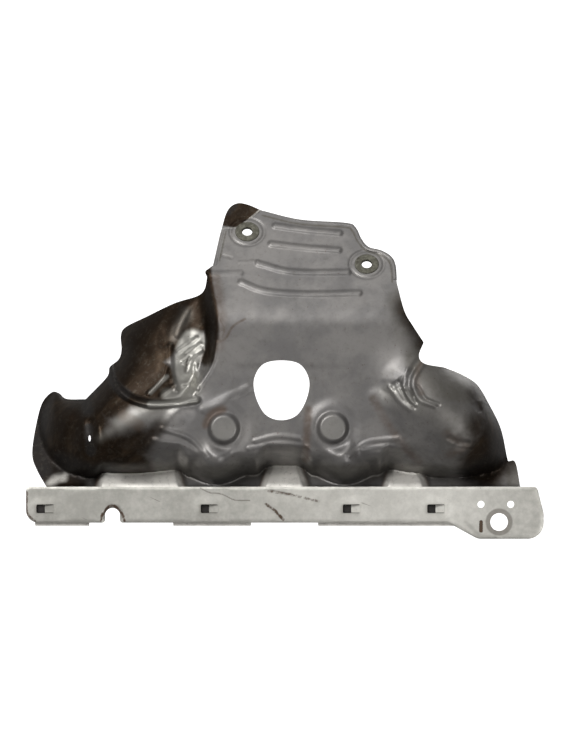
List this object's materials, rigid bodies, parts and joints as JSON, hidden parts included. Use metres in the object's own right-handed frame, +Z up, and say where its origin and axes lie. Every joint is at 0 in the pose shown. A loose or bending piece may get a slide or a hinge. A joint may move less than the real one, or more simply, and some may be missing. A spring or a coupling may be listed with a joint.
{
  "type": "exhaust heat shield",
  "caption": "Pressed-steel heat shield for an exhaust manifold, clinched to a slotted mounting rail, with eyelets on its leaning neck and a sensor window, burnt and dented from use.",
  "frame": {"origin": "centre of the bolt hole in the rail's ear, on the rail's rear face", "axes": "+X along the rail towards the ear's end, +Z up the shield, -Y towards the front with the bolt heads"},
  "size_m": [0.352, 0.0677, 0.2295],
  "materials": {
    "aluminised_sheet": "satin",
    "rail_steel": "satin",
    "eyelet_steel": "satin"
  },
  "bodies": {
    "root": {"shield_pressing": "aluminised_sheet", "mounting_rail": "rail_steel", "left_eyelet": "eyelet_steel", "right_eyelet": "eyelet_steel"}
  },
  "joints": []
}
